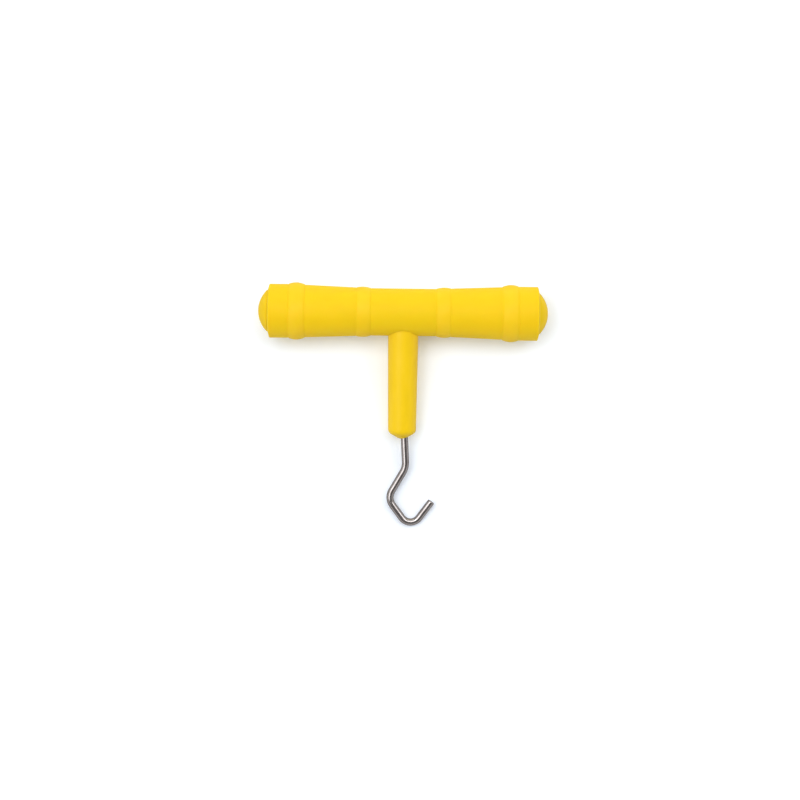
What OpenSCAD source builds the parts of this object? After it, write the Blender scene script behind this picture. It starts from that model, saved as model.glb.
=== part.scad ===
// T-handle pull hook: a soft grip on a hard T moulding, with a bent wire hook held in its stem.
//
// The tool is drawn flat first: the handle's axis along X through the origin, the stem towards -Y.
// It is then laid down as it rests on a floor, on its two outer grip rings and the heel of its hook.
// The origin is on the floor, under the centre of the tool's box. All sizes are in millimetres.

/* [Grip] */
// Length from the middle of the handle to the outer rim of the grip
grip_half_length = 47.3; // [40:0.1:60]
// Thickness of the grip at its waist
waist_wall = 0.95; // [0.7:0.05:2]
// Length from the middle of the handle to the end of the straight waist
waist_half_length = 11.4; // [8:0.1:16]
// Thickness of the grip at the straight land at each end
rim_wall = 2.1; // [1.4:0.05:4]
// Length of that straight land
land_length = 6.7; // [4:0.1:10]
// Lean of the grip's end face, from square to the handle, in degrees
end_face_lean = 15; // [5:1:30]

/* [Grip rings] */
// Width of the inner rings, next to the waist
inner_ring_width = 5.3; // [3:0.1:8]
// Height of the inner rings above the grip
inner_ring_height = 0.4; // [0.2:0.05:1]
// Width of the outer rings, next to the end lands
outer_ring_width = 6; // [3:0.1:8]
// Height of the outer rings above the grip
outer_ring_height = 0.7; // [0.3:0.05:1.5]

/* [Core] */
// Outer diameter of the cross tube under the grip
core_d = 14.8; // [12:0.1:18]
// Wall of the cross tube around the bore at either end
core_wall = 2; // [1.4:0.1:3]
// Length from the middle of the handle to the bottom of either bore
hub_half_length = 9; // [8:0.5:20]
// Width of the grooves under the rings, where the grip is keyed into the core
key_width = 3.6; // [2:0.1:4]
// Depth of those grooves
key_depth = 0.6; // [0.3:0.1:0.8]

/* [Stem] */
// Length from the handle's axis to the tip of the stem
stem_length = 44.8; // [30:0.1:60]
// Diameter of the stem at the handle's axis, before its draft
stem_root_d = 10.9; // [9:0.1:13]
// Draft of the stem: how much narrower it is at its tip
stem_draft = 1.1; // [0.2:0.1:2]
// Radius of the stem's rounded shoulder
stem_shoulder_r = 2; // [1:0.1:3]
// Slope of the stem's nose, from square to the stem, in degrees
nose_slope = 30; // [10:1:40]

/* [End caps] */
// Height of the dome
dome_height = 3.1; // [1.5:0.1:5]
// Depth of the rim that sits inside the end of the grip
cap_rim_depth = 0.3; // [0.2:0.05:1]
// Gap around that rim
cap_gap = 0.05; // [0.02:0.01:0.15]
// Length of the spigot that presses into the core's bore
spigot_length = 7; // [4:0.5:15]
// Wall of the spigot
spigot_wall = 1.3; // [0.8:0.1:2]
// Number of crush ribs on the spigot
crush_ribs = 6; // [3:1:10]
// Width of a crush rib
rib_width = 1; // [0.6:0.1:2]
// Height of a crush rib, which fills the gap to the bore
rib_height = 0.15; // [0.1:0.01:0.3]
// How far the left cap stands off its seat
left_cap_proud = 0.3; // [0.05:0.05:1]

/* [Hook] */
// Diameter of the wire
wire_d = 2.6; // [1.5:0.1:3.5]
// Where the line of the shank crosses the handle's axis, along X
shank_x = -1.6; // [-2.5:0.05:1]
// Length of the anchor leg inside the hub, to the corner of its bend
anchor_length = 7; // [6:0.1:9]
// How far the corner of the shank's first bend lies beyond the tip of the stem
shank_reach = 10.5; // [4:0.1:20]
// Length of the back leg, from corner to corner
back_length = 12.8; // [9:0.1:20]
// Length of the heel leg, from corner to corner
heel_length = 13.9; // [11:0.1:20]
// Length of the point leg, from its corner to the cut tip
point_length = 12.5; // [8:0.1:16]
// Lean of the shank from the stem's own direction, towards +X, in degrees
shank_lean = 3.2; // [0:0.1:4]
// Lean of the back leg
back_lean = -29.9; // [-40:0.1:-15]
// Lean of the heel leg
heel_lean = 36.6; // [25:0.1:50]
// Lean of the point leg
point_lean = 144; // [125:0.5:160]
// Centreline radius of the anchor bend
anchor_bend_r = 3.5; // [3:0.1:5]
// Centreline radius of the bend between the shank and the back leg
neck_bend_r = 7; // [3:0.1:9]
// Centreline radius of the bend between the back and heel legs
back_bend_r = 4.8; // [3:0.1:6]
// Centreline radius of the bend at the heel
heel_bend_r = 3.8; // [2.5:0.1:4.5]
// How far the pressing of a bend swells the wire's surface outwards
bend_swell = 0.02; // [0.01:0.01:0.05]

/* [Hidden] */
$fn = 96;
// Length by which a cut runs past the face it opens
cut_over = 1;
// Length by which a leg of the hook runs into the slightly thicker bend beside it
leg_overlap = 0.2;
// Height by which a key of the grip reaches into the grip's own wall
key_root = 0.2;

core_r = core_d / 2;
bore_r = core_r - core_wall;
waist_r = core_r + waist_wall;
rim_r = core_r + rim_wall;
land_start = grip_half_length - land_length;
inner_ring_x = waist_half_length + inner_ring_width / 2;
outer_ring_x = land_start - outer_ring_width / 2;
ring_places = [-outer_ring_x, -inner_ring_x, inner_ring_x, outer_ring_x];

// The grip's end face leans out towards the cap, so its inner edge is the end of the handle's tube.
seat_x = grip_half_length + rim_wall * tan(end_face_lean);
core_end_x = seat_x - cap_rim_depth;
cap_r = core_r - cap_gap;
spigot_r = bore_r - rib_height;

// Radius of the grip without its rings, at a distance from the middle that lies on the flare
function flare_r(x) =
    waist_r + (rim_r - waist_r) * (x - waist_half_length) / (land_start - waist_half_length);

// Radius of the arc with a given chord and height
function arc_r(chord, height) = (chord * chord / 4 + height * height) / (2 * height);

// The hook as a chain of straight legs. A lean is measured from the stem's direction, towards +X.
shank_length = (stem_length + shank_reach) / cos(shank_lean);
legs = [anchor_length, shank_length, back_length, heel_length, point_length];
leans = [-90, shank_lean, back_lean, heel_lean, point_lean];
bend_radii = [anchor_bend_r, neck_bend_r, back_bend_r, heel_bend_r];
last_leg = len(legs) - 1;
heel_corner = last_leg;

function way(lean) = [sin(lean), -cos(lean), 0];
function corner(i) =
    i == 0 ? [shank_x + anchor_length, 0, 0] : corner(i - 1) + legs[i - 1] * way(leans[i - 1]);
function turn(i) = leans[i] - leans[i - 1];
// Length that the bend at a corner takes from each of its two legs
function trim(i) =
    i == 0 || i > last_leg ? 0 : bend_radii[i - 1] * tan(abs(turn(i)) / 2);
function bend_centre(i) =
    corner(i) - trim(i) * way(leans[i - 1])
    + bend_radii[i - 1] * way(leans[i - 1] + sign(turn(i)) * 90);

// The tool lies on the widest part of the grip and on the hook's heel.
rest_r = max(rim_r, flare_r(outer_ring_x) + outer_ring_height);
heel_reach = heel_bend_r - bend_centre(heel_corner).y;
bend_wire_r = wire_d / 2 + bend_swell;
lie_angle = asin((rest_r - bend_wire_r) / heel_reach);
lying_depth = rest_r + heel_reach * cos(lie_angle) + bend_wire_r;
handle_place = [left_cap_proud / 2, lying_depth / 2 - rest_r, rest_r];

// Lays a flat-drawn piece down as the tool rests
module lay_down() {
    translate(handle_place)
        rotate([lie_angle, 0, 0])
            children();
}

// Turns an outline, drawn as radius against length, about the handle's axis
module turn_about_handle() {
    rotate([0, 90, 0])
        rotate_extrude()
            children();
}

// Round bar on the handle's axis between two places
module handle_bar(from_x, to_x, r) {
    translate([from_x, 0, 0])
        rotate([0, 90, 0])
            cylinder(h = to_x - from_x, r = r);
}

// The stem: a slow cone, a round shoulder and a shallow nose that ends at the wire
module stem() {
    root_r = stem_root_d / 2;
    tip_r = root_r - stem_draft / 2;
    side = atan((root_r - tip_r) / stem_length);
    nose_r = wire_d / 2;
    nose_start = stem_length - (tip_r - nose_r) * tan(nose_slope);
    shoulder = [root_r - nose_start * tan(side), nose_start];
    // The shoulder's arc touches the side and the nose, so its centre is one radius inside both.
    half_turn = (90 - nose_slope - side) / 2;
    reach = stem_shoulder_r * tan(half_turn);
    on_side = shoulder - reach * [-sin(side), cos(side)];
    centre = on_side - stem_shoulder_r * [cos(side), sin(side)];
    on_nose = centre + stem_shoulder_r * [sin(nose_slope), cos(nose_slope)];
    rotate([90, 0, 0])
        rotate_extrude() {
            polygon([[0, 0], [root_r, 0], on_side, centre, on_nose, [nose_r, stem_length],
                     [0, stem_length]]);
            intersection() {
                translate(centre)
                    circle(r = stem_shoulder_r);
                polygon([centre, on_side, shoulder + [stem_shoulder_r, 0],
                         shoulder + [0, stem_shoulder_r], on_nose]);
            }
        }
}

// Straight part of one leg of the hook. Where it meets a bend, it ends just inside it.
module hook_leg(i) {
    from = i == 0 ? 0 : trim(i) - leg_overlap;
    to = i == last_leg ? legs[i] : legs[i] - trim(i + 1) + leg_overlap;
    translate(corner(i) + from * way(leans[i]))
        rotate([90, 0, leans[i]])
            cylinder(h = to - from, d = wire_d);
}

// Bend of the hook at one corner
module hook_bend(i) {
    start = turn(i) > 0 ? leans[i - 1] - 180 : leans[i];
    translate(bend_centre(i))
        rotate([0, 0, start])
            rotate_extrude(angle = abs(turn(i)))
                translate([bend_radii[i - 1], 0])
                    circle(r = bend_wire_r);
}

// The hook's wire up to one of its legs
module hook_wire(to_leg) {
    for (i = [0 : to_leg])
        hook_leg(i);
    for (i = [1 : to_leg])
        hook_bend(i);
}

// Outlines of the keys between grip and core, from the grooves' floors to some height above the core
module key_outlines(height) {
    for (x = ring_places)
        translate([core_r - key_depth, x - key_width / 2])
            square([key_depth + height, key_width]);
}

module handle_core() {
    color("gold")
        lay_down()
            difference() {
                union() {
                    handle_bar(-core_end_x, core_end_x, core_r);
                    stem();
                }
                for (side = [0, 1])
                    mirror([side, 0, 0])
                        handle_bar(hub_half_length, core_end_x + cut_over, bore_r);
                turn_about_handle()
                    key_outlines(height = cut_over);
                hook_wire(to_leg = 1);
            }
}

// One raised ring of the grip, on the given side, as the part of a disc that stands above the core
module ring_outline(side, x, width, height) {
    r = arc_r(width, height);
    intersection() {
        translate([flare_r(x) + height - r, side * x])
            circle(r = r);
        translate([core_r, side * x - width])
            square([height + rim_r, 2 * width]);
    }
}

module grip_sleeve() {
    half = [[waist_r, waist_half_length], [rim_r, land_start], [rim_r, grip_half_length],
            [core_r, seat_x]];
    last = len(half) - 1;
    color("yellow")
        lay_down()
            difference() {
                turn_about_handle() {
                    polygon(concat([for (i = [last : -1 : 0]) [half[i].x, -half[i].y]], half));
                    for (side = [-1, 1]) {
                        ring_outline(side, inner_ring_x, inner_ring_width, inner_ring_height);
                        ring_outline(side, outer_ring_x, outer_ring_width, outer_ring_height);
                    }
                    key_outlines(height = key_root);
                }
                stem();
            }
}

// A domed cap, drawn in place at the +X end of the handle
module end_cap() {
    dome_r = arc_r(2 * cap_r, dome_height);
    spigot_end_x = core_end_x - spigot_length;
    difference() {
        union() {
            turn_about_handle() {
                intersection() {
                    translate([0, seat_x + dome_height - dome_r])
                        circle(r = dome_r);
                    translate([0, seat_x])
                        square([2 * cap_r, 2 * dome_height]);
                }
                translate([0, core_end_x])
                    square([cap_r, cap_rim_depth]);
            }
            handle_bar(spigot_end_x, core_end_x, spigot_r);
            intersection() {
                for (i = [0 : crush_ribs - 1])
                    rotate([i * 360 / crush_ribs, 0, 0])
                        translate([spigot_end_x, -rib_width / 2, spigot_r - spigot_wall / 2])
                            cube([spigot_length, rib_width, spigot_wall]);
                handle_bar(spigot_end_x - cut_over, core_end_x, bore_r);
            }
        }
        handle_bar(spigot_end_x - cut_over, core_end_x, spigot_r - spigot_wall);
    }
}

module end_cap_left() {
    color("goldenrod")
        lay_down()
            translate([-left_cap_proud, 0, 0])
                mirror([1, 0, 0])
                    end_cap();
}

module end_cap_right() {
    color("goldenrod")
        lay_down()
            end_cap();
}

module hook() {
    color("silver")
        lay_down()
            hook_wire(to_leg = last_leg);
}

handle_core();
grip_sleeve();
end_cap_left();
end_cap_right();
hook();
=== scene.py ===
from math import asin, atan2, ceil, copysign, cos, hypot, pi, radians, sin, sqrt, tan

import bmesh
import bpy
from mathutils import Matrix, Vector


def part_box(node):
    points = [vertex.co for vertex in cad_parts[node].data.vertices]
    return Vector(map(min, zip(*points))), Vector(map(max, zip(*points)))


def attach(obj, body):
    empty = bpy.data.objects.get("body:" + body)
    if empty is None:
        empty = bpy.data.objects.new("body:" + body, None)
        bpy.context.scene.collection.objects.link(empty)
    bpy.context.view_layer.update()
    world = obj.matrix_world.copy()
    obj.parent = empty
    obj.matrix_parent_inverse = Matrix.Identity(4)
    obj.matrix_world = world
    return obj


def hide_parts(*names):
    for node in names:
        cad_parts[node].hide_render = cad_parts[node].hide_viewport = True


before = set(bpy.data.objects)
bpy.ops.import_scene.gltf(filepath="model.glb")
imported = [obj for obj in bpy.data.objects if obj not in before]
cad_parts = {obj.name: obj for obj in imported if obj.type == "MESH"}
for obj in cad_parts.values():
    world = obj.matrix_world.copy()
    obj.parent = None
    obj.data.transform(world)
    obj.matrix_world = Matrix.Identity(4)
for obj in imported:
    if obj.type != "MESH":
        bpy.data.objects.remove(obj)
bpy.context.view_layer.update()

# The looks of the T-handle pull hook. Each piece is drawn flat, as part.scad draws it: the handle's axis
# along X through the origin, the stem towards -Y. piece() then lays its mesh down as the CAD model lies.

MM = 0.001

# Sizes of the CAD model that its boxes don't give, named much as in part.scad
GRIP_HALF_LENGTH = 47.3 * MM
WAIST_HALF_LENGTH = 11.4 * MM
LAND_LENGTH = 6.7 * MM
END_FACE_LEAN = radians(15)
INNER_RING_WIDTH = 5.3 * MM
INNER_RING_HEIGHT = 0.4 * MM
OUTER_RING_WIDTH = 6 * MM
OUTER_RING_HEIGHT = 0.7 * MM
WAIST_WALL = 0.95 * MM
RIM_WALL = 2.1 * MM
CORE_R = 7.4 * MM
CORE_WALL = 2 * MM
HUB_HALF_LENGTH = 9 * MM
KEY_WIDTH = 3.6 * MM
KEY_DEPTH = 0.6 * MM
STEM_LENGTH = 44.8 * MM
STEM_ROOT_R = 5.45 * MM
STEM_TIP_R = 4.9 * MM
STEM_SHOULDER_R = 2 * MM
NOSE_SLOPE = radians(30)
CAP_RIM_DEPTH = 0.3 * MM
CAP_GAP = 0.05 * MM
SPIGOT_LENGTH = 7 * MM
SPIGOT_WALL = 1.3 * MM
CRUSH_RIBS = 6
RIB_WIDTH = 1 * MM
RIB_HEIGHT = 0.15 * MM
WIRE_R = 1.3 * MM
BEND_SWELL = 0.02 * MM
SHANK_X = -1.6 * MM
ANCHOR_LENGTH = 7 * MM
SHANK_REACH = 10.5 * MM
BACK_LENGTH = 12.8 * MM
HEEL_LENGTH = 13.9 * MM
POINT_LENGTH = 12.5 * MM
ANCHOR_LEAN = radians(-90)
SHANK_LEAN = radians(3.2)
BACK_LEAN = radians(-29.9)
HEEL_LEAN = radians(36.6)
POINT_LEAN = radians(144)
ANCHOR_BEND_R = 3.5 * MM
NECK_BEND_R = 7 * MM
BACK_BEND_R = 4.8 * MM
HEEL_BEND_R = 3.8 * MM

BORE_R = CORE_R - CORE_WALL
WAIST_R = CORE_R + WAIST_WALL
RIM_R = CORE_R + RIM_WALL
LAND_START = GRIP_HALF_LENGTH - LAND_LENGTH
SEAT_X = GRIP_HALF_LENGTH + RIM_WALL * tan(END_FACE_LEAN)
CORE_END_X = SEAT_X - CAP_RIM_DEPTH
CAP_R = CORE_R - CAP_GAP
SPIGOT_R = BORE_R - RIB_HEIGHT
SHANK_LENGTH = (STEM_LENGTH + SHANK_REACH) / cos(SHANK_LEAN)
LEGS = [ANCHOR_LENGTH, SHANK_LENGTH, BACK_LENGTH, HEEL_LENGTH, POINT_LENGTH]
LEANS = [ANCHOR_LEAN, SHANK_LEAN, BACK_LEAN, HEEL_LEAN, POINT_LEAN]
BEND_RADII = [ANCHOR_BEND_R, NECK_BEND_R, BACK_BEND_R, HEEL_BEND_R]

# The rings on each half of the grip, as (middle, width, height)
RINGS = [
    (WAIST_HALF_LENGTH + INNER_RING_WIDTH / 2, INNER_RING_WIDTH, INNER_RING_HEIGHT),
    (LAND_START - OUTER_RING_WIDTH / 2, OUTER_RING_WIDTH, OUTER_RING_HEIGHT),
]

# Fine detail that the moulds and the bending tools leave
SEAM_HEIGHT = 0.03 * MM
SEAM_HALF_ANGLE = radians(1.2)
RIM_EDGE_R = 0.35 * MM
CAP_EDGE_R = 0.3 * MM
CAP_FOOT_EDGE_R = 0.15 * MM
SMALL_EDGE_R = 0.12 * MM
STEM_LIP_R = 0.4 * MM
FOOT_GROOVE_DEPTH = 0.06 * MM
FOOT_GROOVE_HALF_WIDTH = 0.3 * MM
GATE_R = 0.7 * MM
GATE_DEPTH = 0.1 * MM
GATE_BRIM_R = 0.875 * MM
TIP_CHAMFER = 0.22 * MM

# A gate mark's section from its middle out, as (share of its depth, share of its radius)
GATE_SECTION = [(1, 0.35), (1, 0.8), (0.3, 1)]

# The share of a ring's height at which hands begin to wear it and its painted sheen begins, and the share
# at which the wear and the painted sheen are full
RUB_AND_SHEEN_START = 0.3
RUB_AND_SHEEN_FULL = 0.45

# How closely each surface is drawn: the steps between its rows, and the number of the wire's sides
FINE_STEP = 0.1 * MM
GRIP_STEP = 0.9 * MM
STEM_STEP = 1.5 * MM
LEG_STEP = 1.2 * MM
BEND_STEP = radians(5)
DOME_STEP = radians(2.5)
HOOK_SIDES = 48

# Length of plain surface that is kept beside an edge
EDGE_ROOM = 1 * MM

# Depth of the end of the nose, which is drawn round the wire's hole
HOLE_ROOM = 0.9 * MM

# Lengths closer than this are the same
TOLERANCE = 0.001 * MM

# Where the handle lies, from the CAD boxes
sleeve_low, sleeve_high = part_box("grip_sleeve")
hook_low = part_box("hook")[0]
rest_r = (sleeve_high.z - sleeve_low.z) / 2
handle_x = (sleeve_low.x + sleeve_high.x) / 2
handle_centre = Vector((handle_x, sleeve_high.y - rest_r, sleeve_low.z + rest_r))
bent_wire_r = WIRE_R + BEND_SWELL
lie_angle = atan2(rest_r - bent_wire_r, handle_centre.y - hook_low.y - bent_wire_r)
laid_down = Matrix.Translation(handle_centre) @ Matrix.Rotation(lie_angle, 4, "X")

# Columns of a turned surface: their angles about the handle's axis, from the stem's direction
COLUMN_COUNT = 128
COLUMN_STEP = 2 * pi / COLUMN_COUNT
EVEN_ANGLES = [k * COLUMN_STEP for k in range(-COLUMN_COUNT // 2, COLUMN_COUNT // 2)]
SEAM_FEET = [-SEAM_HALF_ANGLE, SEAM_HALF_ANGLE, SEAM_HALF_ANGLE - pi, pi - SEAM_HALF_ANGLE]
COLUMN_ANGLES = sorted(EVEN_ANGLES + SEAM_FEET)

# The stem comes out of a window in a turned surface, whose quads it replaces with its own loops. The
# window's half angle is taken half a column past its last columns, so that rounding can't drop one.
WINDOW_HALF_LENGTH = HUB_HALF_LENGTH
WINDOW_HALF_ANGLE = 22.5 * COLUMN_STEP
WINDOW_STEPS = 10
HALF_WINDOW = [WINDOW_HALF_LENGTH * k / WINDOW_STEPS for k in range(WINDOW_STEPS + 1)]
WINDOW_COLUMNS = [j for j, angle in enumerate(COLUMN_ANGLES) if abs(angle) < WINDOW_HALF_ANGLE]


class Shell:
    """The skin of one piece while it is built, loop by loop"""

    def __init__(self):
        self.points = []
        self.faces = []

    def loop(self, points):
        """Adds points and gives their indices"""
        first = len(self.points)
        self.points.extend(points)
        return list(range(first, len(self.points)))

    def bridge(self, one, other, skip=()):
        """Quads between two closed loops with the same number of points"""
        for j in range(len(one)):
            if j not in skip:
                k = (j + 1) % len(one)
                self.faces.append((one[j], one[k], other[k], other[j]))

    def chain(self, loops):
        """Quads from each loop to the next"""
        for one, other in zip(loops, loops[1:]):
            self.bridge(one, other)

    def close(self, loop):
        """A fan of triangles to the middle of a loop"""
        middle = len(self.points)
        self.points.append(sum((self.points[i] for i in loop), Vector()) / len(loop))
        for j, i in enumerate(loop):
            self.faces.append((i, loop[(j + 1) % len(loop)], middle))


def share(value):
    """A value kept between 0 and 1"""
    return max(0, min(1, value))


def same(one, other):
    """Whether two lengths are the same"""
    return abs(one - other) < TOLERANCE


def on_bar(x, r, angle):
    """Point at x along the handle, r from its axis, and an angle about it from the stem's direction"""
    return Vector((x, -r * cos(angle), r * sin(angle)))


def rounded(outline, steps=6):
    """Points of an outline of (along, out, corner radius), with the corners that have a radius rounded"""
    path = []
    for i, (along, out, radius) in enumerate(outline):
        corner = Vector((along, out))
        if not radius:
            path.append(corner)
            continue
        back = (Vector(outline[i - 1][:2]) - corner).normalized()
        ahead = (Vector(outline[i + 1][:2]) - corner).normalized()
        half = back.angle(ahead) / 2
        centre = corner + (back + ahead).normalized() * radius / sin(half)
        start = (corner + back * radius / tan(half) - centre).normalized()
        end = (corner + ahead * radius / tan(half) - centre).normalized()
        path.append(centre + start * radius + back * radius / 4)
        path.extend(centre + start.slerp(end, k / steps) * radius for k in range(steps + 1))
        path.append(centre + end * radius + ahead * radius / 4)
    return path


def between(start, end, step):
    """Even places from start to end, both included, no further apart than step"""
    count = max(1, ceil(abs(end - start) / step))
    return [start + (end - start) * k / count for k in range(count + 1)]


def mirrored(half):
    """A half outline, listed outwards from the middle, with its mirror image before it"""
    return [Vector((-p.x, p.y)) for p in reversed(half) if not same(p.x, 0)] + half


def on_seam(angle):
    """Whether an angle is on a mould's seam, in the plane of the tool"""
    return abs(sin(angle)) < sin(SEAM_HALF_ANGLE) / 2


# Turned surfaces and the window in them


def window_rows(profile, window_r):
    """Places in a profile that cross the stem's window, which is in the surface of radius window_r"""
    limit = WINDOW_HALF_LENGTH + TOLERANCE
    return [i for i, (x, r) in enumerate(profile) if abs(x) < limit and same(r, window_r)]


def turn(shell, profile, radius_at=lambda r, angle: r, window_r=0):
    """Loops of (along, out) points turned about the handle's axis, open at the stem's window"""
    loops = [shell.loop([on_bar(x, radius_at(r, a), a) for a in COLUMN_ANGLES]) for x, r in profile]
    rows = window_rows(profile, window_r)
    for i in range(len(loops) - 1):
        crosses_window = i in rows and i + 1 in rows
        shell.bridge(loops[i], loops[i + 1], skip=WINDOW_COLUMNS[:-1] if crosses_window else ())
    return loops


def window_rim(profile, loops, window_r):
    """Indices round the rim of the stem's window, whichever way the profile runs"""
    rows = sorted(window_rows(profile, window_r), key=lambda i: profile[i].x)
    low, high = WINDOW_COLUMNS[0], WINDOW_COLUMNS[-1]
    rim = [loops[rows[0]][j] for j in WINDOW_COLUMNS]
    rim += [loops[i][high] for i in rows[1:]]
    rim += [loops[rows[-1]][j] for j in reversed(WINDOW_COLUMNS[:-1])]
    rim += [loops[i][low] for i in reversed(rows[1:-1])]
    return rim


def angles_about_stem(shell, rim):
    """Angles of a rim's points about the stem, from +X"""
    return [atan2(shell.points[i].z, shell.points[i].x) for i in rim]


def spread(shell, rim, edge, rows=8):
    """Loops on the bar's surface from a window's rim to just before the edge of the hole in it"""
    loops = [rim]
    for k in range(1, rows):
        t = k / rows
        points = []
        for i, far in zip(rim, edge):
            near = shell.points[i]
            angle = atan2(near.z, -near.y) * (1 - t) + atan2(far.z, -far.y) * t
            r = hypot(near.y, near.z) * (1 - t) + hypot(far.y, far.z) * t
            points.append(on_bar(near.x * (1 - t) + far.x * t, r, angle))
        loops.append(shell.loop(points))
    return loops


def stem_side_r(depth):
    """Radius of the stem's drafted side, at a distance from the handle's axis"""
    return STEM_ROOT_R - (STEM_ROOT_R - STEM_TIP_R) * depth / STEM_LENGTH


def where_stem_leaves(angle, bar_r, clearance=0):
    """Point a clearance off the stem's side, at an angle about it and bar_r from the handle's axis"""
    # The side's radius and the depth depend on each other, and settle in a few rounds
    rounds = 5
    depth = bar_r
    for _ in range(rounds):
        side_r = stem_side_r(depth) + clearance
        depth = sqrt(bar_r**2 - (side_r * sin(angle)) ** 2)
    return Vector((side_r * cos(angle), -depth, side_r * sin(angle)))


def key_outline():
    """Half of the surface where grip and core meet: the window's rows, then the keys under the rings"""
    outline = [Vector((x, CORE_R)) for x in HALF_WINDOW]
    for middle, _, _ in RINGS:
        start, end = middle - KEY_WIDTH / 2, middle + KEY_WIDTH / 2
        root_r = CORE_R - KEY_DEPTH
        outline += [Vector(p) for p in ((start, CORE_R), (start, root_r), (end, root_r), (end, CORE_R))]
    return outline


def add(name, data):
    """A new object in the scene"""
    thing = bpy.data.objects.new(name, data)
    bpy.context.scene.collection.objects.link(thing)
    return thing


def piece(name, shell, material, sharp_angle=radians(35), marks=()):
    """Makes a shell the object that stands for a CAD node, with marks of (name, vector at a point)"""
    mesh = bpy.data.meshes.new(name)
    mesh.from_pydata(shell.points, [], shell.faces)
    work = bmesh.new()
    work.from_mesh(mesh)
    bmesh.ops.recalc_face_normals(work, faces=work.faces)
    work.to_mesh(mesh)
    work.free()
    mesh.shade_smooth()
    mesh.set_sharp_from_angle(angle=sharp_angle)
    for label, value_at in marks:
        attribute = mesh.attributes.new(label, "FLOAT_VECTOR", "POINT")
        for i, vertex in enumerate(mesh.vertices):
            attribute.data[i].vector = value_at(vertex.co)
    mesh.transform(laid_down)
    mesh.materials.append(material)
    thing = add(name + "_look", mesh)
    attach(thing, "root")
    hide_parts(name)


# The grip


def ring_height(x, middle, width, height):
    """Height above the grip, at x, of a ring whose section is an arc; negative beside the ring"""
    arc_r = (width**2 / 4 + height**2) / (2 * height)
    off = abs(x) - middle
    return sqrt(arc_r**2 - off**2) - arc_r + height if abs(off) < arc_r else -height


def flare_r(x):
    """Radius of the grip without its rings"""
    part = (abs(x) - WAIST_HALF_LENGTH) / (LAND_START - WAIST_HALF_LENGTH)
    return WAIST_R + (RIM_R - WAIST_R) * share(part)


def grip_r(x):
    """Radius of the grip, with a shallow groove at the foot of each ring"""
    rise = max(ring_height(x, *ring) for ring in RINGS)
    groove = 0
    for middle, width, _ in RINGS:
        off_foot = abs(abs(abs(x) - middle) - width / 2)
        groove += FOOT_GROOVE_DEPTH * share(1 - off_foot / FOOT_GROOVE_HALF_WIDTH)
    return min(rest_r, flare_r(x) + max(0, rise) - groove)


def seam(r, angle):
    """A radius, raised a little where the angle is on the seam, but never past what the tool rests on"""
    return min(rest_r, r + SEAM_HEIGHT) if on_seam(angle) else r


def rub_and_painted_sheen(point):
    """1 on the crowns of the rings, which hands wear and which get a paler painted sheen, and 0 beside
    them
    """
    height_share = max(ring_height(point.x, *ring) / ring[2] for ring in RINGS)
    return Vector((1, 1, 1)) * share((height_share - RUB_AND_SHEEN_START) / (RUB_AND_SHEEN_FULL - RUB_AND_SHEEN_START))


def grip_outline():
    """Half of the grip's outside, from its middle to the cap's seat, with close rows over its rings"""
    places = []
    reached = WINDOW_HALF_LENGTH
    for middle, width, _ in RINGS:
        half_width = width / 2 + FOOT_GROOVE_HALF_WIDTH
        places += between(reached, middle - half_width, GRIP_STEP)[1:]
        places += between(middle - half_width, middle + half_width, FINE_STEP)[1:]
        reached = middle + half_width
    places += between(reached, GRIP_HALF_LENGTH - EDGE_ROOM, GRIP_STEP)[1:-1]
    end = rounded([
        (GRIP_HALF_LENGTH - EDGE_ROOM, RIM_R, 0),
        (GRIP_HALF_LENGTH, RIM_R, RIM_EDGE_R),
        (SEAT_X, CORE_R, SMALL_EDGE_R),
        (SEAT_X - EDGE_ROOM, CORE_R, 0),
    ])
    return [Vector((x, WAIST_R)) for x in HALF_WINDOW] + [Vector((x, grip_r(x))) for x in places] + end


def stem_lip(angles):
    """Rows of the rounded lip where the grip meets the stem"""
    steps = 5
    rows = []
    for k in range(steps + 1):
        tilt = pi / 2 * k / steps
        bar_r = WAIST_R - STEM_LIP_R * (1 - cos(tilt))
        rows.append([where_stem_leaves(a, bar_r, STEM_LIP_R * (1 - sin(tilt))) for a in angles])
    return rows


def make_grip():
    """The outside and the inside, joined at the cap's seats and down the lip round the stem"""
    shell = Shell()
    outside = mirrored(grip_outline())
    inside = list(reversed(mirrored(key_outline())))
    outer_loops = turn(shell, outside, seam, WAIST_R)
    inner_loops = turn(shell, inside, window_r=CORE_R)
    shell.bridge(outer_loops[-1], inner_loops[0])
    shell.bridge(inner_loops[-1], outer_loops[0])

    rim = window_rim(outside, outer_loops, WAIST_R)
    angles = angles_about_stem(shell, rim)
    lip = stem_lip(angles)
    foot = [where_stem_leaves(a, CORE_R) for a in angles]
    inner_rim = window_rim(inside, inner_loops, CORE_R)
    loops = spread(shell, rim, lip[0]) + [shell.loop(points) for points in lip + [foot]]
    loops += reversed(spread(shell, inner_rim, foot))
    shell.chain(loops)
    piece("grip_sleeve", shell, soft_grip(), marks=[("rub_and_painted_sheen", rub_and_painted_sheen)])


# The core


def core_outline():
    """Half of the cross tube, from its middle out over its end and back in to the solid hub"""
    end = rounded([
        (CORE_END_X - EDGE_ROOM, CORE_R, 0),
        (CORE_END_X, CORE_R, SMALL_EDGE_R),
        (CORE_END_X, BORE_R, SMALL_EDGE_R),
        (HUB_HALF_LENGTH, BORE_R, 0),
        (HUB_HALF_LENGTH, BORE_R / 2, 0),
    ])
    return key_outline() + end


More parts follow.
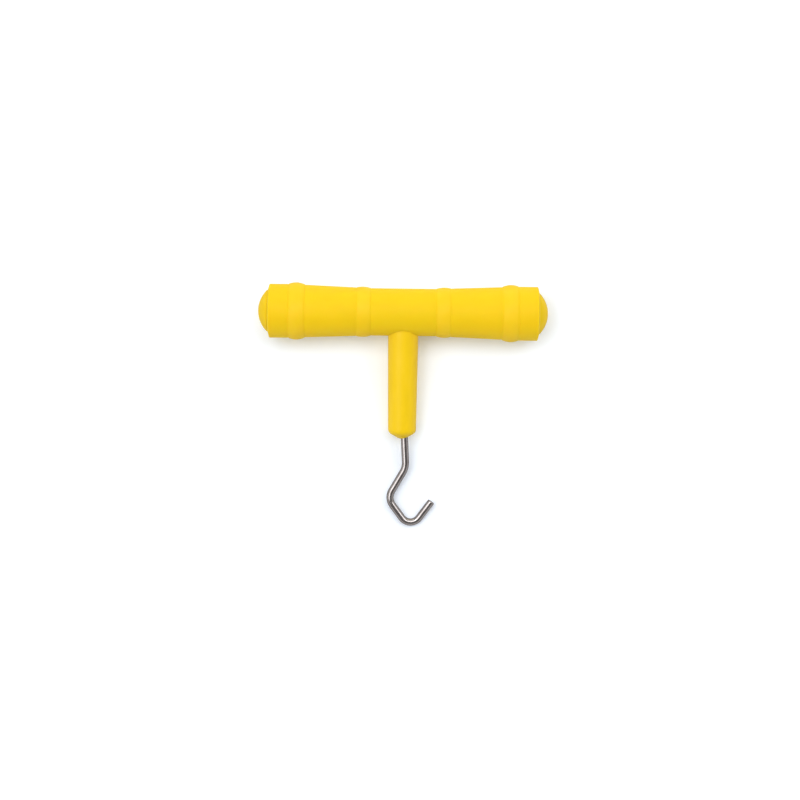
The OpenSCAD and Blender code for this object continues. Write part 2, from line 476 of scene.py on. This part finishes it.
def stem_outline():
    """(depth, out) of the stem's side and nose, down to where the nose is drawn round its hole"""
    nose_start = STEM_LENGTH - (STEM_TIP_R - WIRE_R) * tan(NOSE_SLOPE)
    side_end = nose_start - STEM_SHOULDER_R - STEM_STEP
    side = [(y, stem_side_r(y), 0) for y in between(CORE_R + FINE_STEP, side_end, STEM_STEP)]
    shoulder = (nose_start, stem_side_r(nose_start), STEM_SHOULDER_R)
    nose_end = (STEM_LENGTH - HOLE_ROOM, WIRE_R + HOLE_ROOM / tan(NOSE_SLOPE), 0)
    return rounded(side + [shoulder, nose_end], steps=12)


def stem_row(depth, r, angles):
    """Points round the stem, raised a little on the mould's seam"""
    radii = [r + SEAM_HEIGHT if on_seam(a) else r for a in angles]
    return [Vector((out * cos(a), -depth, out * sin(a))) for out, a in zip(radii, angles)]


def on_nose(x, z):
    """Point on the slope of the nose"""
    rise = max(0, hypot(x, z) - WIRE_R) * tan(NOSE_SLOPE)
    return Vector((x, rise - STEM_LENGTH, z))


def hole_rows(nose_r, angles):
    """Rows from the nose's slope in to the wire's hole, then up the hole to the anchor's end"""
    hole_x = SHANK_X + STEM_LENGTH * tan(SHANK_LEAN)
    brim_r = WIRE_R + SMALL_EDGE_R
    steps = 5
    rows = []
    for k in range(1, steps + 1):
        t = k / steps
        r = nose_r * (1 - t) + brim_r * t
        rows.append([on_nose(hole_x * t + r * cos(a), r * sin(a)) for a in angles])
    brim = rows[-1]
    mouth = [(hole_x + WIRE_R * cos(a), WIRE_R * sin(a)) for a in angles]
    rows.append([Vector((x, p.y + SMALL_EDGE_R, z)) for (x, z), p in zip(mouth, brim)])
    inside = [station for station in wire_stations() if station[0].y > STEM_STEP - STEM_LENGTH]
    return rows + [wire_row(station, angles) for station in reversed(inside)]


def make_core():
    """The cross tube, then the stem from the tube's window down to its nose and up the wire's hole"""
    shell = Shell()
    profile = mirrored(core_outline())
    tube = turn(shell, profile, window_r=CORE_R)
    shell.close(tube[0])
    shell.close(tube[-1])

    rim = window_rim(profile, tube, CORE_R)
    angles = angles_about_stem(shell, rim)
    root = [where_stem_leaves(a, CORE_R) for a in angles]
    loops = spread(shell, rim, root) + [shell.loop(root)]
    side_and_nose = stem_outline()
    loops += [shell.loop(stem_row(depth, r, angles)) for depth, r in side_and_nose]
    loops += [shell.loop(row) for row in hole_rows(side_and_nose[-1].y, angles)]
    shell.chain(loops)
    shell.close(loops[-1])
    plastic = hard_plastic("stem_plastic", roughness=0.36, light=1, gloss=0.2)
    piece("handle_core", shell, plastic)


# The end caps


def rib(r, angle):
    """The spigot's radius with its crush ribs"""
    if not same(r, SPIGOT_R):
        return r
    sector = 2 * pi / CRUSH_RIBS
    off = (angle + sector / 2) % sector - sector / 2
    return BORE_R if abs(off) * SPIGOT_R < RIB_WIDTH / 2 else SPIGOT_R


def dome_outline(tip_x, base_x):
    """The cap's gate mark, then its dome almost out to its edge"""
    height = tip_x - base_x
    dome_r = (CAP_R**2 + height**2) / (2 * height)
    centre = tip_x - dome_r
    start = asin(GATE_BRIM_R / dome_r)
    end = asin(CAP_R / dome_r) - CAP_EDGE_R / dome_r
    gate = [Vector((tip_x - deep * GATE_DEPTH, out * GATE_R)) for deep, out in GATE_SECTION]
    dome = [Vector((centre + dome_r * cos(a), dome_r * sin(a))) for a in between(start, end, DOME_STEP)]
    return gate + dome


def make_cap(name, side):
    """A cap, drawn for the +X end and mirrored to its side; the left one stands further out"""
    low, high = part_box(name)
    tip_x = abs((high.x if side > 0 else low.x) - handle_centre.x)
    right_tip_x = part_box("end_cap_right")[1].x - handle_centre.x
    base_x = SEAT_X + tip_x - right_tip_x
    rim_x = base_x - CAP_RIM_DEPTH
    spigot_end = rim_x - SPIGOT_LENGTH
    dome = dome_outline(tip_x, base_x)
    profile = dome[:-1] + rounded([
        (*dome[-1], 0),
        (base_x, CAP_R, CAP_FOOT_EDGE_R),
        (rim_x, CAP_R, 0),
        (rim_x, SPIGOT_R, 0),
        (spigot_end, SPIGOT_R, 0),
        (spigot_end, SPIGOT_R - SPIGOT_WALL, 0),
        (rim_x, SPIGOT_R - SPIGOT_WALL, 0),
    ])
    shell = Shell()
    loops = turn(shell, [Vector((side * p.x, p.y)) for p in profile], rib)
    shell.close(loops[0])
    shell.close(loops[-1])
    plastic = hard_plastic(name + "_plastic", roughness=0.5, light=0.96, gloss=0.1)
    piece(name, shell, plastic)


# The hook


def way(lean):
    """Direction of a leg that leans from straight down the stem"""
    return Vector((sin(lean), -cos(lean), 0))


def bend_stations(start, lean, turn_by, radius):
    """(centre, lean, swell) along a bend, without its start"""
    quarter = copysign(pi / 2, turn_by)
    middle = start + way(lean + quarter) * radius
    stations = []
    for part in between(0, turn_by, BEND_STEP)[1:]:
        out = way(lean + part - quarter)
        stations.append((middle + out * radius, lean + part, sin(pi * part / turn_by)))
    return stations


def wire_stations():
    """(centre, lean, swell) along the wire, from its anchor to its tip"""
    turns = [after - before for before, after in zip(LEANS, LEANS[1:])]
    trims = [0] + [r * tan(abs(turn_by) / 2) for r, turn_by in zip(BEND_RADII, turns)] + [0]
    start = Vector((SHANK_X + ANCHOR_LENGTH, 0, 0))
    stations = []
    for i, (lean, length) in enumerate(zip(LEANS, LEGS)):
        straight = length - trims[i] - trims[i + 1]
        stations += [(start + way(lean) * along, lean, 0) for along in between(0, straight, LEG_STEP)]
        if i < len(turns):
            stations += bend_stations(stations[-1][0], lean, turns[i], BEND_RADII[i])
            # The next leg starts with the bend's last station
            start = stations.pop()[0]
    return stations


def wire_row(station, angles, r=WIRE_R):
    """Points round the wire, which is a little flattened where it is bent"""
    centre, lean, swell = station
    across = Vector((cos(lean), sin(lean), 0))
    r_across = r - BEND_SWELL * swell
    r_up = r + BEND_SWELL * swell
    return [centre + across * r_across * cos(a) + Vector((0, 0, r_up * sin(a))) for a in angles]


def tip_rows(tip, lean, angles):
    """Rows of the rounded chamfer at the wire's cut tip"""
    steps = 3
    rows = []
    for k in range(1, steps + 1):
        tilt = pi / 2 * k / steps
        back = TIP_CHAMFER * (1 - sin(tilt))
        station = (tip - way(lean) * back, lean, 0)
        rows.append(wire_row(station, angles, WIRE_R - TIP_CHAMFER * (1 - cos(tilt))))
    return rows


def make_hook():
    """The wire, with its bends and its place along the wire marked for the steel"""
    shell = Shell()
    angles = [2 * pi * k / HOOK_SIDES for k in range(HOOK_SIDES)]
    stations = wire_stations()
    tip, tip_lean, _ = stations[-1]
    stations[-1] = (tip - way(tip_lean) * TIP_CHAMFER, tip_lean, 0)
    rows = [wire_row(station, angles) for station in stations] + tip_rows(tip, tip_lean, angles)
    loops = [shell.loop(row) for row in rows]
    shell.chain(loops)
    shell.close(loops[0])
    shell.close(loops[-1])

    lengths = [0]
    for one, other in zip(stations, stations[1:]):
        lengths.append(lengths[-1] + (other[0] - one[0]).length)

    def nearest(point):
        return min(range(len(stations)), key=lambda i: (stations[i][0] - point).length_squared)

    def wire_place(point):
        """Place on the wire: its length in metres along, then across and up from its centre"""
        i = nearest(point)
        centre, lean, _ = stations[i]
        off = point - centre
        across = off.dot(Vector((cos(lean), sin(lean), 0)))
        return Vector((lengths[i] + off.dot(way(lean)), across, off.z))

    def bent(point):
        """1 in the middle of a bend, falling to 0 at its ends"""
        return Vector((1, 1, 1)) * stations[nearest(point)][2]

    marks = [("bent", bent), ("wire_place", wire_place)]
    piece("hook", shell, bent_steel(), sharp_angle=radians(50), marks=marks)


# Materials


class Paint:
    """The nodes of one material"""

    def __init__(self, name):
        self.material = bpy.data.materials.new(name)
        self.material.use_nodes = True
        self.nodes = self.material.node_tree.nodes
        self.links = self.material.node_tree.links
        self.shader = self.nodes["Principled BSDF"]

    def node(self, kind, **values):
        """A new node with each input set to a value or linked to a socket"""
        made = self.nodes.new(kind)
        for name, value in values.items():
            target = made.inputs[name.replace("_", " ")]
            if isinstance(value, bpy.types.NodeSocket):
                self.links.new(value, target)
            else:
                target.default_value = value
        return made

    def feed(self, name, value):
        """Links a value to one of the shader's sockets"""
        self.links.new(value, self.shader.inputs[name])

    def set(self, **values):
        """Sets the shader's sockets to values that are the same all over the surface"""
        for name, value in values.items():
            self.shader.inputs[name.replace("_", " ")].default_value = value

    def noise(self, grain, stretch=(1, 1, 1), detail=3, place=None):
        """Noise between 0 and 1 whose grain is this many metres wide"""
        place = place or self.nodes.new("ShaderNodeTexCoord").outputs["Object"]
        mapped = self.node("ShaderNodeMapping", Vector=place, Scale=stretch).outputs["Vector"]
        made = self.node("ShaderNodeTexNoise", Vector=mapped, Scale=1 / grain, Detail=detail)
        return made.outputs["Fac"]

    def attribute(self, name, part="Fac"):
        """A mark of the mesh"""
        made = self.nodes.new("ShaderNodeAttribute")
        made.attribute_name = name
        return made.outputs[part]

    def scaled(self, value, low, high, start=0.3, end=0.7):
        """A value between start and end, such as a noise's, brought to between low and high"""
        limits = {"From_Min": start, "From_Max": end, "To_Min": low, "To_Max": high}
        return self.node("ShaderNodeMapRange", Value=value, **limits).outputs["Result"]

    def added(self, one, other):
        """The sum of two values"""
        made = self.nodes.new("ShaderNodeMath")
        for socket, value in zip(made.inputs, (one, other)):
            self.links.new(value, socket)
        return made.outputs["Value"]

    def colours(self, value, *stops):
        """Colour ramp of (place, colour) stops"""
        made = self.node("ShaderNodeValToRGB", Fac=value)
        set_stops(made.color_ramp, stops)
        return made.outputs["Color"]

    def bump(self, height, distance, strength, normal=None):
        """A normal tilted by a height of up to a distance in metres, over another normal"""
        made = self.node("ShaderNodeBump", Height=height, Distance=distance, Strength=strength)
        if normal:
            self.links.new(normal, made.inputs["Normal"])
        return made.outputs["Normal"]


def set_stops(ramp, stops):
    """Gives a colour ramp these (place, colour) stops"""
    while len(ramp.elements) < len(stops):
        ramp.elements.new(1)
    for element, (place, colour) in zip(ramp.elements, stops):
        element.position = place
        element.color = (*colour, 1)


YELLOW = (0.865, 0.57, 0.005)
STAINED_STEEL = (0.36, 0.325, 0.315)
STEEL = (0.42, 0.385, 0.375)
BRIGHT_STEEL = (0.45, 0.42, 0.41)


def shade(colour, light, whiten=0):
    """A colour made lighter or darker, and whiter"""
    return tuple(min(1, c * light) * (1 - whiten) + whiten for c in colour)


def soft_grip():
    """Soft moulded rubber: a fine matt grain, polished a little on the rings where hands wear it, with a
    painted sheen that makes the rings' crowns paler and whiter
    """
    paint = Paint("grip_rubber_yellow")
    rubbed_and_sheen = paint.attribute("rub_and_painted_sheen")
    clouds = paint.scaled(paint.noise(grain=9 * MM), low=0.25, high=0.6)
    tone = paint.added(clouds, paint.scaled(rubbed_and_sheen, low=0, high=0.3, start=0, end=1))
    darker = shade(YELLOW, light=0.96)
    # The palest stop, reached on the rings' crowns, is a painted sheen: the rubber made lighter and
    # whiter there
    paler = shade(YELLOW, light=1.03, whiten=0.012)
    paint.feed("Base Color", paint.colours(tone, (0, darker), (0.5, YELLOW), (1, paler)))
    patches = paint.scaled(paint.noise(grain=2.5 * MM, detail=5), low=0.5, high=0.64)
    polish = paint.scaled(rubbed_and_sheen, low=0, high=-0.1, start=0, end=1)
    paint.feed("Roughness", paint.added(patches, polish))
    matt = paint.bump(paint.noise(grain=0.22 * MM, detail=2), distance=0.02 * MM, strength=0.35)
    waves = paint.noise(grain=4 * MM)
    paint.feed("Normal", paint.bump(waves, distance=0.05 * MM, strength=0.25, normal=matt))
    paint.set(Specular_IOR_Level=0.15)
    paint.set(Subsurface_Weight=0.3, Subsurface_Scale=2 * MM, Subsurface_Radius=(1, 0.6, 0.1))
    return paint.material


def hard_plastic(name, roughness, light, gloss):
    """Moulded plastic: a faint orange peel, and flow lines along the handle and the stem"""
    paint = Paint(name)
    flow = paint.noise(grain=2.5 * MM, stretch=(1, 0.25, 1), detail=4)
    yellow = shade(YELLOW, light)
    darker = shade(yellow, light=0.96)
    paler = shade(yellow, light=1.03, whiten=0.01)
    paint.feed("Base Color", paint.colours(flow, (0.25, darker), (0.5, yellow), (0.8, paler)))
    patches = paint.noise(grain=1.2 * MM, detail=5)
    paint.feed("Roughness", paint.scaled(patches, low=roughness - 0.05, high=roughness + 0.06))
    peel = paint.bump(paint.noise(grain=0.9 * MM, detail=1), distance=0.03 * MM, strength=0.3)
    dust = paint.noise(grain=0.12 * MM, detail=2)
    paint.feed("Normal", paint.bump(dust, distance=0.008 * MM, strength=0.25, normal=peel))
    paint.set(Specular_IOR_Level=gloss)
    return paint.material


def bent_steel():
    """Drawn stainless wire: fine lines along it, and dull marks where the bending tools pressed"""
    paint = Paint("drawn_stainless")
    along_wire = paint.attribute("wire_place", "Vector")
    lines = paint.noise(grain=0.15 * MM, stretch=(0.02, 1, 1), detail=2, place=along_wire)
    stain = paint.noise(grain=3 * MM, detail=4)
    colour = paint.colours(stain, (0.3, STAINED_STEEL), (0.5, STEEL), (0.75, BRIGHT_STEEL))
    paint.feed("Base Color", colour)
    patches = paint.scaled(paint.noise(grain=0.8 * MM, detail=5), low=0.11, high=0.17)
    pressed = paint.scaled(paint.attribute("bent"), low=0, high=0.05, start=0, end=1)
    paint.feed("Roughness", paint.added(patches, pressed))
    paint.feed("Normal", paint.bump(lines, distance=0.006 * MM, strength=0.2))
    paint.set(Metallic=1, Anisotropic=0.2)
    return paint.material


# Floor, light and camera

FLOOR_HALF_WIDTH = 3
LIGHT_DISTANCE = 1.6
GROUND_LIGHT = 0.45
WALL_LIGHT = 0.8
CEILING_LIGHT = 0.2


def make_floor():
    """A plain white floor, which glossy surfaces don't mirror"""
    half = FLOOR_HALF_WIDTH
    corners = [(-half, -half, 0), (half, -half, 0), (half, half, 0), (-half, half, 0)]
    mesh = bpy.data.meshes.new("floor")
    mesh.from_pydata(corners, [], [(0, 1, 2, 3)])
    floor = add("floor", mesh)
    floor.visible_glossy = False
    paint = Paint("plain_white")
    paint.set(Base_Color=(0.9, 0.93, 0.98, 1), Roughness=0.9, Specular_IOR_Level=0.1)
    paint.set(Emission_Color=(0.6, 0.78, 1, 1), Emission_Strength=0.15)
    mesh.materials.append(paint.material)


def softbox(name, heading, lean, size, radiance):
    """An area light aimed at the tool, by its heading (0 is +X) and lean from straight up, in degrees"""
    light = bpy.data.lights.new(name, "AREA")
    light.shape = "RECTANGLE"
    light.size, light.size_y = size
    light.energy = radiance * pi * size[0] * size[1]
    lamp = add(name, light)
    heading, lean = radians(heading), radians(lean)
    away = Vector((cos(heading) * sin(lean), sin(heading) * sin(lean), cos(lean)))
    lamp.location = away * LIGHT_DISTANCE
    lamp.rotation_euler = away.to_track_quat("Z", "Y").to_euler()
    lamp.visible_camera = False


def make_world():
    """Pale walls, a dim ceiling, and below the horizon the grey ground that glossy surfaces mirror"""
    world = bpy.data.worlds.new("studio")
    bpy.context.scene.world = world
    world.use_nodes = True
    nodes, links = world.node_tree.nodes, world.node_tree.links
    place = nodes.new("ShaderNodeTexCoord")
    parts = nodes.new("ShaderNodeSeparateXYZ")
    height = nodes.new("ShaderNodeMapRange")
    ramp = nodes.new("ShaderNodeValToRGB")
    links.new(place.outputs["Generated"], parts.inputs["Vector"])
    links.new(parts.outputs["Z"], height.inputs["Value"])
    links.new(height.outputs["Result"], ramp.inputs["Fac"])
    links.new(ramp.outputs["Color"], nodes["Background"].inputs["Color"])
    # The direction's height runs from -1, straight down, to 1, and the ramp's places from 0 to 1
    height.inputs["From Min"].default_value = -1
    lights = [(-0.12, GROUND_LIGHT), (-0.05, WALL_LIGHT), (0.35, WALL_LIGHT), (0.6, CEILING_LIGHT)]
    set_stops(ramp.color_ramp, [((rise + 1) / 2, (light, light, light)) for rise, light in lights])


def make_camera():
    """A long lens straight above the tool, with the frame's top edge turned a little from the handle"""
    lens, sensor = 100, 36
    height = 0.794
    turned = radians(0.72)
    frame_middle = handle_centre + Vector((-0.84 * MM, -30.95 * MM, 0))
    camera = add("camera", bpy.data.cameras.new("camera"))
    camera.data.lens = lens
    camera.data.sensor_width = sensor
    camera.location = (frame_middle.x, frame_middle.y, height)
    camera.rotation_euler = (0, 0, turned)
    bpy.context.scene.camera = camera


make_grip()
make_core()
make_cap("end_cap_left", -1)
make_cap("end_cap_right", 1)
make_hook()
make_floor()
make_world()
softbox("left", heading=178, lean=31, size=(1.3, 1.1), radiance=2.3)
softbox("right", heading=24, lean=42, size=(0.9, 0.6), radiance=3)
softbox("top", heading=92, lean=17, size=(1.4, 0.8), radiance=2.7)
softbox("back", heading=92, lean=58, size=(1.6, 0.9), radiance=0.8)
make_camera()
bpy.context.scene.view_settings.view_transform = "Standard"
